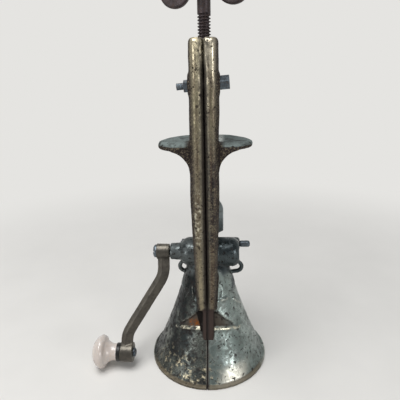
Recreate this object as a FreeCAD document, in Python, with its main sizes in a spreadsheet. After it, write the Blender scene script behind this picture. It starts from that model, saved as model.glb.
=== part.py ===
import FreeCAD, Part
import math
import os

import Sketcher

# Hand crank meat grinder, standing on its hopper mouth with the table clamp on top.
# X runs along the feed screw (crank at -X), the clamp leg is on the -Y side, Z is up,
# and the origin is the centre of the hopper mouth. All sizes are in millimetres or degrees.

SIZES = {
    # hopper
    "mouth_radius": 52.0,
    "rim_height": 3.0,
    "rim_step": 1.2,
    "hopper_wall": 3.0,
    "flare_radius": 480.0,
    "neck_radius": 19.0,
    "neck_drop": 14.0,
    "shoulder_rise": 9.0,
    "shoulder_inset": 8.0,
    "shoulder_radius": 12.0,
    "recess_depth": 1.7,
    "recess_half_width": 26.0,
    "recess_bottom": 41.5,
    "recess_rise": 23.0,
    "recess_sill": 60.0,
    # barrel
    "seam_gap": 0.04,
    "shaft_height": 101.0,
    "barrel_radius": 12.6,
    "bore_radius": 9.4,
    "barrel_left": 23.7,
    "barrel_right": 28.5,
    "barrel_round": 8.5,
    "end_wall": 4.0,
    "lip_radius": 7.8,
    "lip_length": 3.3,
    "throat_radius": 9.0,
    "boss_radius": 7.8,
    "boss_tip_radius": 7.2,
    "boss_length": 8.8,
    "key_size": 1.4,
    # scroll ears between barrel and hopper
    "scroll_tube": 1.5,
    "scroll_bend": 4.6,
    "scroll_reach": 14.5,
    "scroll_root": 10.5,
    "scroll_top_drop": 6.5,
    "scroll_tip_drop": 16.0,
    "scroll_low_drop": 19.5,
    # clamp leg
    "leg_front": 31.0,
    "leg_depth": 13.5,
    "leg_start": 60.0,
    "leg_start_half": 7.6,
    "belly_height": 156.0,
    "belly_half": 10.6,
    "leg_height": 270.0,
    "leg_top_half": 9.3,
    "leg_bead": 3.6,
    "web_half": 8.0,
    "web_start": 68.0,
    "web_rise": 30.0,
    "tab_left": 3.4,
    "tab_right": 5.6,
    "tab_bottom": 38.8,
    "tab_proud": 1.8,
    "tab_depth": 6.0,
    "tab_lap": 5.0,
    "bolt_boss_half": 10.4,
    "bolt_boss_radius": 7.4,
    # pad that bears on the table
    "pad_height": 199.0,
    "pad_thick": 4.5,
    "pad_radius": 36.4,
    "pad_corner": 18.0,
    "pad_depth": 50.0,
    "pad_front_inset": 2.5,
    "pad_round": 1.5,
    "gusset_reach": 25.0,
    "gusset_rise": 17.0,
    "gusset_depth": 9.5,
    # jaw that carries the clamp screw
    "jaw_thick": 17.0,
    "jaw_half": 7.5,
    "jaw_boss_radius": 8.6,
    "screw_setback": 28.0,
    # fits
    "running_fit": 0.05,
    "press_fit": 0.02,
    "bolt_fit": 0.2,
    "face_gap": 0.3,
    # feed screw, knife and plate
    "journal_radius": 4.4,
    "washer_thick": 1.0,
    "washer_radius": 8.0,
    "flange_thick": 2.0,
    "flange_radius": 8.2,
    "core_radius": 3.8,
    "flight_pitch": 12.0,
    "flight_thick": 2.4,
    "knife_side": 5.2,
    "knife_thick": 3.5,
    "knife_arm": 4.0,
    "knife_tip_back": 1.2,
    "knife_tip_front": 1.8,
    "knife_hub": 4.6,
    "plate_thick": 4.0,
    "pilot_radius": 2.1,
    "plate_hole_radius": 1.3,
    "plate_ring_radius": 5.6,
    "plate_holes": 10,
    "drive_side": 6.2,
    # crank
    "crank_swing": 24.85,
    "hub_length": 11.2,
    "hub_radius": 6.6,
    "arm_set": 0.1,
    "arm_offset": 33.0,
    "arm_upper": 20.8,
    "arm_lower": 16.2,
    "arm_bend": 24.0,
    "arm_half_width": 5.2,
    "arm_half_depth": 3.9,
    "arm_edge": 1.5,
    "arm_ridge": 1.2,
    "arm_end_radius": 8.5,
    "arm_end_proud": 0.3,
    "screw_head_radius": 5.6,
    "screw_head_height": 2.8,
    "screw_head_round": 2.1,
    "screw_shank_radius": 1.8,
    "screw_shank_length": 9.0,
    "slot_width": 1.2,
    "slot_depth": 1.3,
    # knob
    "knob_radius": 14.3,
    "knob_neck_radius": 7.4,
    "knob_length": 21.0,
    "knob_neck_length": 10.4,
    "knob_rim_inset": 1.8,
    "knob_rim_run": 3.3,
    "knob_rim_radius": 4.0,
    "knob_dome_radius": 11.0,
    "knob_hollow_radius": 9.0,
    "ferrule_radius": 7.9,
    "ferrule_thick": 3.0,
    "spindle_radius": 2.6,
    "spindle_head_radius": 4.6,
    "spindle_head_thick": 1.8,
    "spindle_peen_radius": 3.8,
    "spindle_peen_thick": 2.2,
    "spindle_peen_round": 1.5,
    "floor_gap": 0.2,
    # clamp screw, wing and foot
    "thread_radius": 4.75,
    "thread_depth": 1.15,
    "thread_pitch": 2.1,
    "thread_above": 17.0,
    "thread_lead_in": 1.0,
    "shank_length": 10.5,
    "foot_gap": 32.0,
    "foot_radius": 9.2,
    "foot_thick": 3.6,
    "foot_cup_radius": 6.4,
    "foot_cup_height": 5.4,
    "foot_bevel": 0.8,
    "ball_radius": 3.4,
    "ball_rise": 4.8,
    "ball_neck_radius": 2.4,
    "ball_neck_room": 0.5,
    "wing_hub_radius": 7.4,
    "wing_hub_height": 19.0,
    "wing_hub_bevel": 1.0,
    "wing_hub_crown": 2.0,
    "wing_bore_depth": 14.0,
    "wing_span": 22.0,
    "wing_lobe_radius": 12.6,
    "wing_lobe_rise": 6.6,
    "wing_thick": 5.6,
    "wing_bar": 9.0,
    "wing_round": 2.0,
    "wing_turn": -20.0,
    "wing_pin_radius": 1.6,
    "wing_pin_rise": 5.0,
    # bolts that draw the halves together
    "leg_bolt_radius": 2.4,
    "leg_bolt_height": 240.5,
    "leg_bolt_setback": 7.5,
    "leg_head_side": 7.0,
    "leg_head_thick": 7.0,
    "leg_nut_thick": 3.2,
    "leg_bolt_over": 5.0,
    "leg_bolt_tilt": 4.5,
    "leg_head_turn": 31.0,
    "leg_nut_turn": 12.0,
    "tie_bolt_radius": 2.4,
    "tie_setback": 15.8,
    "tie_head_radius": 2.9,
    "tie_head_length": 8.6,
    "tie_head_round": 2.0,
    "tie_nut_side": 6.6,
    "tie_nut_thick": 3.4,
    "tie_bolt_over": 0.9,
    "lug_radius": 6.2,
    "lug_round": 3.0,
    "lug_left": 20.5,
    "bolt_pitch": 1.1,
    "bolt_groove": 0.45,
    # drip tongue gripped by the rear bolt
    "tongue_eye_half": 8.0,
    "tongue_thick": 1.6,
    "tongue_half_width": 13.5,
    "tongue_rise": 44.0,
    "tongue_shoulder": 10.0,
    "tongue_slope": 1.5,
    # locating pins
    "pin_radius": 1.8,
    "pin_reach": 4.5,
    "pin_low_height": 128.0,
    "pin_high_height": 214.0,
}


class Size:
    """A size that carries both its value and the expression it is bound with."""

    def __init__(self, text, value):
        self.text = text
        self.value = value

    def joined(self, sign, other, value, swap=False):
        parts = (other.text, sign, self.text) if swap else (self.text, sign, other.text)
        return Size("(%s %s %s)" % parts, value)

    def __add__(self, other):
        other = as_size(other)
        return self.joined("+", other, self.value + other.value)

    def __sub__(self, other):
        other = as_size(other)
        return self.joined("-", other, self.value - other.value)

    def __rsub__(self, other):
        other = as_size(other)
        return self.joined("-", other, other.value - self.value, swap=True)

    def __mul__(self, other):
        other = as_size(other)
        return self.joined("*", other, self.value * other.value)

    def __truediv__(self, other):
        other = as_size(other)
        return self.joined("/", other, self.value / other.value)

    def __neg__(self):
        return Size("(0 - %s)" % self.text, -self.value)

    __radd__ = __add__
    __rmul__ = __mul__


def as_size(item):
    return item if isinstance(item, Size) else Size(repr(float(item)), float(item))


def root(size):
    return Size("sqrt(%s)" % size.text, math.sqrt(size.value))


class Sheet:
    """The sizes by name, each one tied to its cell."""

    def __init__(self, sizes):
        for name, number in sizes.items():
            setattr(self, name, Size("Sizes." + name, float(number)))


doc = FreeCAD.newDocument("meat_grinder")
sheet = doc.addObject("Spreadsheet::Sheet", "Sizes")
for row, (name, number) in enumerate(SIZES.items(), start=1):
    sheet.set("A%d" % row, name)
    sheet.set("B%d" % row, repr(number))
    sheet.setAlias("B%d" % row, name)
doc.recompute()
dim = Sheet(SIZES)

X_AXIS = FreeCAD.Vector(1, 0, 0)
Y_AXIS = FreeCAD.Vector(0, 1, 0)
Z_AXIS = FreeCAD.Vector(0, 0, 1)
ALONG_X = FreeCAD.Rotation(Y_AXIS, 90)
ALONG_Y = FreeCAD.Rotation(X_AXIS, -90)
ALONG_Z = FreeCAD.Rotation()
PLANES = {
    "XY": FreeCAD.Rotation(),
    "XZ": FreeCAD.Rotation(X_AXIS, 90),
    "YZ": FreeCAD.Rotation(FreeCAD.Vector(1, 1, 1), 120),
}
nodes = []


def bind(thing, **sizes):
    for name, size in sizes.items():
        thing.setExpression(name, as_size(size).text)
    return thing


def put(thing, x=0, y=0, z=0, turn=ALONG_Z):
    """Place a piece; each coordinate stays tied to its sizes."""
    place = [as_size(item) for item in (x, y, z)]
    thing.Placement = FreeCAD.Placement(FreeCAD.Vector(*[item.value for item in place]), turn)
    for letter, item in zip("xyz", place):
        thing.setExpression(".Placement.Base." + letter, item.text)
    return thing


def node(thing, name):
    thing.Label = name
    nodes.append(thing)
    return thing


# sketches

def loose_sketch(name, plane, offset=0):
    """A sketch that belongs to no body, on a plane moved along its normal."""
    sketch = doc.addObject("Sketcher::SketchObject", name)
    offset = as_size(offset)
    if plane == "XY":
        return put(sketch, z=offset, turn=PLANES[plane])
    if plane == "XZ":
        return put(sketch, y=offset, turn=PLANES[plane])
    return put(sketch, x=offset, turn=PLANES[plane])


def body_sketch(body, name, plane, offset=0):
    """A sketch on an origin plane of its body, moved along the plane's own normal."""
    sketch = body.newObject("Sketcher::SketchObject", name)
    role = plane + "_Plane"
    support = [item for item in body.Origin.OriginFeatures if item.Role == role][0]
    sketch.AttachmentSupport = [(support, "")]
    sketch.MapMode = "FlatFace"
    offset = as_size(offset)
    sketch.AttachmentOffset = FreeCAD.Placement(FreeCAD.Vector(0, 0, offset.value), ALONG_Z)
    sketch.setExpression(".AttachmentOffset.Base.z", offset.text)
    return sketch


def drive(sketch, kind, size, *refs):
    """Add one dimension to a sketch and tie it to its size."""
    size = as_size(size)
    index = sketch.addConstraint(Sketcher.Constraint(kind, *refs, size.value))
    sketch.setExpression("Constraints[%d]" % index, size.text)


def fix_point(sketch, geo, end, u, v):
    """Hold a point of a sketch at u, v from the sketch origin."""
    for size, kind, axis in ((as_size(u), "DistanceX", -2), (as_size(v), "DistanceY", -1)):
        if abs(size.value) < 1e-9:
            sketch.addConstraint(Sketcher.Constraint("PointOnObject", geo, end, axis))
        else:
            drive(sketch, kind, size, -1, 1, geo, end)


def arc_between(start, end, radius):
    """Arc from start to end; a positive radius turns left, a negative one turns right."""
    chord = end - start
    middle = (start + end) * 0.5
    side = FreeCAD.Vector(-chord.y, chord.x, 0).normalize()
    rise = math.sqrt(max(radius * radius - chord.Length ** 2 / 4, 0.0))
    centre = middle + side * math.copysign(rise, radius)
    first, last = (start, end) if radius > 0 else (end, start)
    angles = [math.atan2(point.y - centre.y, point.x - centre.x) for point in (first, last)]
    return Part.ArcOfCircle(Part.Circle(centre, Z_AXIS, abs(radius)), *angles)


def outline(sketch, corners, arcs=None):
    """Closed outline through corners; arcs gives the signed radius of an edge by its number."""
    arcs = arcs or {}
    spots = [FreeCAD.Vector(as_size(u).value, as_size(v).value, 0) for u, v in corners]
    count = len(corners)
    ends = []
    for number in range(count):
        start, end = spots[number], spots[(number + 1) % count]
        if number in arcs:
            geo = sketch.addGeometry(arc_between(start, end, as_size(arcs[number]).value))
            ends.append((geo, 1, 2) if as_size(arcs[number]).value > 0 else (geo, 2, 1))
        else:
            geo = sketch.addGeometry(Part.LineSegment(start, end))
            ends.append((geo, 1, 2))
    for number in range(count):
        geo, _, last = ends[number]
        follower, first, _ = ends[(number + 1) % count]
        sketch.addConstraint(Sketcher.Constraint("Coincident", geo, last, follower, first))
    for number, (u, v) in enumerate(corners):
        geo, first, _ = ends[number]
        fix_point(sketch, geo, first, u, v)
    for number, radius in arcs.items():
        radius = as_size(radius)
        drive(sketch, "Radius", radius if radius.value > 0 else -radius, ends[number][0])
    return sketch


def rectangle(sketch, u_low, u_high, v_low, v_high):
    return outline(sketch, [(u_low, v_low), (u_high, v_low), (u_high, v_high), (u_low, v_high)])


def circle(sketch, radius, u=0, v=0):
    radius = as_size(radius)
    centre = FreeCAD.Vector(as_size(u).value, as_size(v).value, 0)
    geo = sketch.addGeometry(Part.Circle(centre, Z_AXIS, radius.value))
    fix_point(sketch, geo, 3, u, v)
    drive(sketch, "Radius", radius, geo)
    return sketch


def bent_path(sketch, corners, bend):
    """Open path of straight runs through corners, each inner corner rounded by bend."""
    bend = as_size(bend)
    spots = [FreeCAD.Vector(as_size(u).value, as_size(v).value, 0) for u, v in corners]
    pieces = []
    begin = spots[0]
    for number in range(1, len(spots) - 1):
        back = (spots[number - 1] - spots[number]).normalize()
        ahead = (spots[number + 1] - spots[number]).normalize()
        half = back.getAngle(ahead) / 2
        run = bend.value / math.tan(half)
        left = back.x * ahead.y - back.y * ahead.x < 0
        first, last = spots[number] + back * run, spots[number] + ahead * run
        pieces.append((sketch.addGeometry(Part.LineSegment(begin, first)), 1, 2))
        signed = bend.value if left else -bend.value
        geo = sketch.addGeometry(arc_between(first, last, signed))
        pieces.append((geo, 1, 2) if left else (geo, 2, 1))
        begin = last
    pieces.append((sketch.addGeometry(Part.LineSegment(begin, spots[-1])), 1, 2))
    for (geo, _, last), (follower, first, _) in zip(pieces, pieces[1:]):
        sketch.addConstraint(Sketcher.Constraint("Tangent", geo, last, follower, first))
    for geo, _, _ in pieces[1::2]:
        drive(sketch, "Radius", bend, geo)
    for number in range(1, len(corners) - 1):
        mark = sketch.addGeometry(Part.Point(spots[number]), True)
        sketch.addConstraint(Sketcher.Constraint("PointOnObject", mark, 1, pieces[2 * number - 2][0]))
        sketch.addConstraint(Sketcher.Constraint("PointOnObject", mark, 1, pieces[2 * number][0]))
        fix_point(sketch, mark, 1, *corners[number])
    fix_point(sketch, pieces[0][0], 1, *corners[0])
    fix_point(sketch, pieces[-1][0], 2, *corners[-1])
    return [piece[0] for piece in pieces]


# features of a body

def new_body(name):
    return node(doc.addObject("PartDesign::Body", name), name)


def pad(body, sketch, length, back=False):
    feature = body.newObject("PartDesign::Pad", sketch.Name + "_pad")
    feature.Profile = sketch
    feature.Reversed = back
    return bind(feature, Length=length)


def pocket(body, sketch, length, back=False):
    feature = body.newObject("PartDesign::Pocket", sketch.Name + "_pocket")
    feature.Profile = sketch
    feature.Reversed = back
    return bind(feature, Length=length)


def turned(body, sketch, axis):
    feature = body.newObject("PartDesign::Revolution", sketch.Name + "_turn")
    feature.Profile = sketch
    feature.ReferenceAxis = (sketch, [axis])
    feature.Angle = 360
    return feature


def ring_of(body, feature, sketch, count):
    """Repeat a feature around the sketch normal."""
    pattern = body.newObject("PartDesign::PolarPattern", feature.Name + "_ring")
    pattern.Originals = [feature]
    pattern.Axis = (sketch, ["N_Axis"])
    pattern.Angle = 360
    bind(pattern, Occurrences=count)
    body.Tip = pattern
    return pattern


def rod(body, name, radius, start, length):
    """Round length along X from start towards +X."""
    return pad(body, circle(body_sketch(body, name, "YZ", start), radius), length)


def square_rod(body, name, side, start, length):
    """Square length along X from start towards +X."""
    half = side / 2
    return pad(body, rectangle(body_sketch(body, name, "YZ", start), -half, half, -half, half), length)


def round_edges(body, feature, radius, wanted):
    """Round the edges of a feature that the test picks out."""
    doc.recompute()
    picked = [
        "Edge%d" % number
        for number, edge in enumerate(feature.Shape.Edges, start=1)
        if wanted(edge)
    ]
    fillet = body.newObject("PartDesign::Fillet", feature.Name + "_round")
    fillet.Base = (feature, picked)
    return bind(fillet, Radius=radius)


def thread_rings(body, name, radius, start, length):
    """Cut the ridges of a small bolt thread along X."""
    sketch = body_sketch(body, name, "XZ")
    depth = dim.bolt_groove
    outline(sketch, [
        (start, radius + depth),
        (start + dim.bolt_pitch * 0.5, radius - depth),
        (start + dim.bolt_pitch, radius + depth),
    ])
    groove = body.newObject("PartDesign::Groove", name + "_groove")
    groove.Profile = sketch
    groove.ReferenceAxis = (sketch, ["H_Axis"])
    groove.Angle = 360
    row = body.newObject("PartDesign::LinearPattern", name + "_row")
    row.Originals = [groove]
    row.Direction = (sketch, ["H_Axis"])
    turns = max(2, int(length.value / dim.bolt_pitch.value))
    row.Mode = "Spacing"
    bind(row, Offset=dim.bolt_pitch)
    row.Occurrences = turns
    body.Tip = row
    return row


# primitives and booleans

def cylinder(name, radius, length, turn, x=0, y=0, z=0):
    shape = doc.addObject("Part::Cylinder", name)
    bind(shape, Radius=radius, Height=length)
    return put(shape, x, y, z, turn)


def box(name, x_low, x_high, y_low, y_high, z_low, z_high):
    x_low, y_low, z_low = as_size(x_low), as_size(y_low), as_size(z_low)
    shape = doc.addObject("Part::Box", name)
    bind(shape, Length=as_size(x_high) - x_low, Width=as_size(y_high) - y_low, Height=as_size(z_high) - z_low)
    return put(shape, x_low, y_low, z_low)


def prism(name, sketch, direction, length):
    shape = doc.addObject("Part::Extrusion", name)
    shape.Base = sketch
    shape.DirMode = "Custom"
    shape.Dir = direction
    shape.Solid = True
    return bind(shape, LengthFwd=length)


def spun(name, sketch):
    """Solid of a sketch turned about the upright axis."""
    shape = doc.addObject("Part::Revolution", name)
    shape.Source = sketch
    shape.Axis = Z_AXIS
    shape.Base = FreeCAD.Vector(0, 0, 0)
    shape.Angle = 360
    shape.Solid = True
    return shape


def joined(name, shapes):
    shape = doc.addObject("Part::MultiFuse", name)
    shape.Shapes = shapes
    shape.Refine = True
    return shape


def cut(name, base, tool):
    shape = doc.addObject("Part::Cut", name)
    shape.Base = base
    shape.Tool = tool
    return shape


def mirrored(name, source):
    shape = doc.addObject("Part::Mirroring", name)
    shape.Source = source
    shape.Base = FreeCAD.Vector(0, 0, 0)
    shape.Normal = X_AXIS
    return shape


def rounded(name, base, radius, wanted):
    """Round the edges of a solid that the test picks out."""
    doc.recompute()
    shape = doc.addObject("Part::Fillet", name)
    shape.Base = base
    shape.Edges = [
        (number, radius.value, radius.value)
        for number, edge in enumerate(base.Shape.Edges, start=1)
        if wanted(edge)
    ]
    return shape


def lies_at(edge, axis, place):
    """True when the whole edge lies at one place along an axis (0 X, 1 Y, 2 Z)."""
    limits = edge.BoundBox
    low = (limits.XMin, limits.YMin, limits.ZMin)[axis]
    high = (limits.XMax, limits.YMax, limits.ZMax)[axis]
    return abs(low - place) < 0.01 and abs(high - place) < 0.01


# places used by several pieces

seam = dim.seam_gap / 2
leg_back = dim.leg_front - dim.leg_depth
screw_y = dim.screw_setback - dim.leg_front
pad_under = dim.pad_height - dim.pad_thick
jaw_under = dim.leg_height - dim.jaw_thick
boss_end = dim.barrel_left + dim.boss_length
wall_face = dim.barrel_left - dim.end_wall
lip_face = dim.barrel_right - dim.lip_length
leg_bolt_y = dim.leg_bolt_setback - dim.leg_front
eye_edge = dim.tongue_eye_half + dim.running_fit

# the leg bolt sits crooked in its boss, so its head and nut bear on one edge
BOLT_TILT = FreeCAD.Rotation(Y_AXIS, -dim.leg_bolt_tilt.value)
bolt_run = math.cos(math.radians(dim.leg_bolt_tilt.value))
bolt_climb = math.sin(math.radians(dim.leg_bolt_tilt.value))
leg_seat = dim.bolt_boss_half + dim.leg_head_side * bolt_climb

# shapes that cut run past the face they cut, and shapes that join run into each other
overrun = dim.hopper_wall / 2

# the crank leans until its knob rests on the table
knob_height = dim.knob_radius + dim.floor_gap
crank_drop = dim.shaft_height - knob_height
crank_throw = root(crank_drop * crank_drop + dim.crank_swing * dim.crank_swing)
LEAN = FreeCAD.Rotation(X_AXIS, -math.degrees(math.atan2(dim.crank_swing.value, crank_drop.value)))
OUTWARD = FreeCAD.Rotation(Z_AXIS, 180)


# the two cast halves

def hopper_profile(sketch, inset):
    """Half outline of the hopper, its skin moved in by inset."""
    base = dim.mouth_radius - dim.rim_step - inset
    neck = dim.neck_radius - inset
    neck_height = dim.shaft_height - dim.neck_drop
    top = neck_height + dim.shoulder_rise
    return outline(sketch, [
        (0, 0),
        (base, 0),
        (neck, neck_height),
        (neck - dim.shoulder_inset, top),
        (0, top),
    ], {1: -dim.flare_radius, 2: dim.shoulder_radius})


def hopper():
    """Flared hopper with its rim bead and the arched recess at the root of the leg."""
    skin = spun("hopper_skin", hopper_profile(loose_sketch("hopper_line", "XZ"), as_size(0)))
    rim = cylinder("rim_bead", dim.mouth_radius, dim.rim_height, ALONG_Z)
    core = spun("recess_floor", hopper_profile(loose_sketch("recess_line", "XZ"), dim.recess_depth))
    arch = loose_sketch("recess_arch", "XZ")
    outline(arch, [
        (-dim.recess_half_width, dim.recess_bottom),
        (dim.recess_half_width, dim.recess_bottom),
        (0, dim.recess_bottom + dim.recess_rise),
    ], {0: -dim.recess_sill})
    arch_block = prism("recess_block", arch, -Y_AXIS, dim.mouth_radius)
    return cut("hopper_form", joined("hopper_solid", [skin, rim]), cut("recess_tool", arch_block, core))


def hopper_inside():
    """Hollow of the hopper and the throat up into the barrel."""
    sketch = loose_sketch("hollow_line", "XZ")
    base = dim.mouth_radius - dim.rim_step - dim.hopper_wall
    neck = dim.neck_radius - dim.hopper_wall
    neck_height = dim.shaft_height - dim.neck_drop
    outline(sketch, [
        (0, -overrun),
        (base, -overrun),
        (base, 0),
        (neck, neck_height),
        (dim.throat_radius, neck_height + dim.hopper_wall),
        (dim.throat_radius, dim.shaft_height),
        (0, dim.shaft_height),
    ], {2: -dim.flare_radius})
    return spun("hopper_hollow", sketch)


def half_leg():
    """Right half of the clamp leg: a tapered bar with rounded front edges."""
    sketch = loose_sketch("leg_line", "XZ", -dim.leg_front)
    outline(sketch, [
        (seam, dim.leg_start),
        (dim.leg_start_half, dim.leg_start),
        (dim.belly_half, dim.belly_height),
        (dim.leg_top_half, dim.leg_height),
        (seam, dim.leg_height),
    ])
    bar = prism("leg_bar", sketch, Y_AXIS, dim.leg_depth)
    front = -dim.leg_front.value
    return rounded("leg_form", bar, dim.leg_bead, lambda edge: lies_at(edge, 1, front))


def half_gusset():
    """Right flank of the leg, swept out under the pad."""
    sketch = loose_sketch("gusset_line", "XZ", dim.pad_front_inset - dim.leg_front)
    inner = dim.belly_half - dim.leg_bead
    reach = dim.gusset_reach - dim.belly_half
    rise = dim.gusset_rise
    radius = (reach * reach + rise * rise) / (2 * reach)
    outline(sketch, [
        (inner, pad_under - rise),
        (dim.belly_half, pad_under - rise),
        (dim.gusset_reach, pad_under),
        (dim.gusset_reach, pad_under + dim.pad_thick / 2),
        (inner, pad_under + dim.pad_thick / 2),
    ], {1: -radius})
    return prism("gusset", sketch, Y_AXIS, dim.gusset_depth)


def table_pad():
    """Pad that bears against the table: a disc with a straight front and rounded corners."""
    front = dim.pad_front_inset - dim.leg_front
    back = front + dim.pad_depth
    middle = back - dim.pad_radius
    run = dim.pad_radius - dim.pad_corner
    rise = front + dim.pad_corner - middle
    corner_x = root(run * run - rise * rise)
    tip_x = corner_x * dim.pad_radius / run
    tip_y = middle + rise * dim.pad_radius / run
    sketch = loose_sketch("pad_line", "XY", pad_under)
    outline(sketch, [
        (-corner_x, front),
        (corner_x, front),
        (tip_x, tip_y),
        (0, back),
        (-tip_x, tip_y),
    ], {1: dim.pad_corner, 2: dim.pad_radius, 3: dim.pad_radius, 4: dim.pad_corner})
    plate = prism("pad_plate", sketch, Z_AXIS, dim.pad_thick)
    flat = dim.pad_thick.value / 2
    return rounded("pad_form", plate, dim.pad_round, lambda edge: edge.BoundBox.ZLength < flat)


def half_scroll(name, barrel_end):
    """Scroll ear: a round bar looped from one barrel end down to the hopper."""
    path = loose_sketch(name + "_path", "XZ")
    start = (barrel_end - dim.scroll_root, dim.shaft_height - dim.scroll_top_drop)
    tip = (barrel_end + dim.scroll_reach, dim.shaft_height - dim.scroll_tip_drop)
    end = (barrel_end - dim.scroll_root, dim.shaft_height - dim.scroll_low_drop)
    bent_path(path, [start, tip, end], dim.scroll_bend)
    ring = doc.addObject("Part::Circle", name + "_ring")
    bind(ring, Radius=dim.scroll_tube)
    run = FreeCAD.Vector(tip[0].value - start[0].value, 0, tip[1].value - start[1].value)
    put(ring, start[0], 0, start[1], FreeCAD.Rotation(Z_AXIS, run))
    sweep = doc.addObject("Part::Sweep", name)
    sweep.Sections = [ring]
    doc.recompute()
    names = ["Edge%d" % (number + 1) for number in range(len(path.Shape.Edges))]
    sweep.Spine = (path, names)
    sweep.Solid = True
    return sweep


def castings():
    """Left and right halves, parted along the middle plane."""
    shell = hopper()
    barrel = rounded(
        "barrel_form",
        cylinder("barrel", dim.barrel_radius, dim.barrel_left + dim.barrel_right, ALONG_X,
                 x=-dim.barrel_left, z=dim.shaft_height),
        dim.barrel_round,
        lambda edge: edge.BoundBox.XLength < 0.01,
    )
    web_line = loose_sketch("web_line", "YZ", -dim.web_half)
    outline(web_line, [
        (-leg_back - overrun, dim.web_start),
        (0, dim.web_start),
        (0, dim.shaft_height + dim.bore_radius),
        (-leg_back - overrun, dim.shaft_height + dim.web_rise),
    ])
    web = prism("leg_web", web_line, X_AXIS, dim.web_half * 2)
    jaw = box("jaw_bar", -dim.jaw_half, dim.jaw_half, -leg_back - overrun, screw_y, jaw_under, dim.leg_height)
    jaw_boss = cylinder("jaw_boss", dim.jaw_boss_radius, dim.jaw_thick, ALONG_Z, 0, screw_y, jaw_under)
    bolt_boss = cylinder("bolt_boss", dim.bolt_boss_radius, dim.bolt_boss_half * 2, ALONG_X,
                         -dim.bolt_boss_half, leg_bolt_y, dim.leg_bolt_height)
    leg, gusset = half_leg(), half_gusset()
    right_lug = rounded(
        "right_lug",
        cylinder("right_lug_bar", dim.lug_radius, dim.barrel_right - eye_edge, ALONG_X,
                 eye_edge, dim.tie_setback, dim.shaft_height),
        dim.lug_round,
        lambda edge: lies_at(edge, 0, dim.barrel_right.value),
    )
    left_lug = rounded(
        "left_lug",
        cylinder("left_lug_bar", dim.lug_radius, dim.lug_left - eye_edge, ALONG_X,
                 -dim.lug_left, dim.tie_setback, dim.shaft_height),
        dim.lug_round,
        lambda edge: lies_at(edge, 0, -dim.lug_left.value),
    )
    right_scroll = half_scroll("right_scroll", dim.barrel_right)
    left_scroll = mirrored("left_scroll", half_scroll("left_scroll_form", dim.barrel_left))
    shared = [shell, barrel, web, jaw, jaw_boss, bolt_boss, table_pad()]
    right_own = [leg, gusset, right_lug, right_scroll]
    left_own = [mirrored("left_leg", leg), mirrored("left_gusset", gusset), left_lug, left_scroll]

    tab_line = loose_sketch("tab_line", "YZ", -dim.tab_left)
    slope = (dim.mouth_radius - dim.neck_radius) / (dim.shaft_height - dim.neck_drop)
    tab_front = dim.mouth_radius - slope * dim.tab_bottom
    outline(tab_line, [
        (dim.tab_depth - tab_front, dim.tab_bottom),
        (-dim.tab_proud - tab_front, dim.tab_bottom),
        (dim.tab_proud - dim.leg_front, dim.leg_start + dim.tab_lap),
        (dim.tab_depth - dim.leg_front, dim.leg_start + dim.tab_lap),
    ])
    tab = prism("root_tab", tab_line, X_AXIS, dim.tab_left + dim.tab_right)
    boss = doc.addObject("Part::Cone", "bearing_boss")
    bind(boss, Radius1=dim.boss_tip_radius, Radius2=dim.boss_radius, Height=dim.boss_length + overrun)
    put(boss, -boss_end, 0, dim.shaft_height, ALONG_X)

    hollow = hopper_inside()
    key = box("plate_key", lip_face - dim.plate_thick, lip_face, -dim.key_size / 2, dim.key_size / 2,
              dim.shaft_height + dim.bore_radius - dim.key_size, dim.shaft_height + dim.bore_radius + overrun)
    bore = cylinder("bore", dim.bore_radius, wall_face + lip_face, ALONG_X, x=-wall_face, z=dim.shaft_height)
    lip = cylinder("lip", dim.lip_radius, dim.lip_length + overrun, ALONG_X, x=lip_face, z=dim.shaft_height)
    journal = cylinder("journal_hole", dim.journal_radius + dim.running_fit,
                       boss_end - wall_face + overrun * 2, ALONG_X, x=-boss_end - overrun, z=dim.shaft_height)
    tie_hole = cylinder("tie_hole", dim.tie_bolt_radius + dim.bolt_fit,
                        dim.barrel_left + dim.barrel_right + overrun * 2, ALONG_X,
                        -dim.barrel_left - overrun, dim.tie_setback, dim.shaft_height)
    bolt_reach = leg_seat + overrun
    leg_hole = cylinder("leg_hole", dim.leg_bolt_radius + dim.bolt_fit, bolt_reach * 2, BOLT_TILT.multiply(ALONG_X),
                        -bolt_reach * bolt_run, leg_bolt_y, dim.leg_bolt_height - bolt_reach * bolt_climb)
    screw_hole = cylinder("screw_hole", dim.thread_radius + dim.running_fit, dim.jaw_thick + overrun * 2, ALONG_Z,
                          0, screw_y, jaw_under - overrun)
    eye_room = cylinder("eye_room", dim.tie_bolt_radius + dim.bolt_fit + dim.tongue_thick + dim.face_gap,
                        eye_edge * 2, ALONG_X, -eye_edge, dim.tie_setback, dim.shaft_height)
    pins = []
    for name, height in (("low", dim.pin_low_height), ("high", dim.pin_high_height)):
        pins.append(cylinder("pin_hole_" + name, dim.pin_radius + dim.press_fit, (dim.pin_reach + dim.face_gap) * 2, ALONG_X,
                             -dim.pin_reach - dim.face_gap, -dim.leg_front + dim.leg_depth / 2, height))
    holes = [hollow, bore, tie_hole, leg_hole, screw_hole, eye_room] + pins
    wide = dim.mouth_radius + dim.pad_depth
    top = dim.leg_height + overrun
    left_side = box("left_side", -wide, seam, -wide, wide, -overrun, top)
    right_side = box("right_side", -seam, wide, -wide, wide, -overrun, top)
    right_holes = cut("right_holes", joined("right_bores", holes + [lip]), key)
    right_tool = joined("right_tool", [right_holes, left_side])
    left_tool = joined("left_tool", holes + [journal, right_side])
    node(cut("right_half", joined("right_form", shared + right_own + [tab]), right_tool), "right_half")
    node(cut("left_half", joined("left_form", shared + left_own + [tab, boss]), left_tool), "left_half")


def square_nut(name, side, thick, bore, outer_x, y, z, turn=ALONG_Z):
    """Square nut drawn up against the left half, its outer face at outer_x."""
    body = new_body(name)
    square_rod(body, name + "_block", side, 0, thick)
    pocket(body, circle(body_sketch(body, name + "_bore", "YZ"), bore), thick, back=True)
    return put(body, outer_x, y, z, turn)


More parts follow.
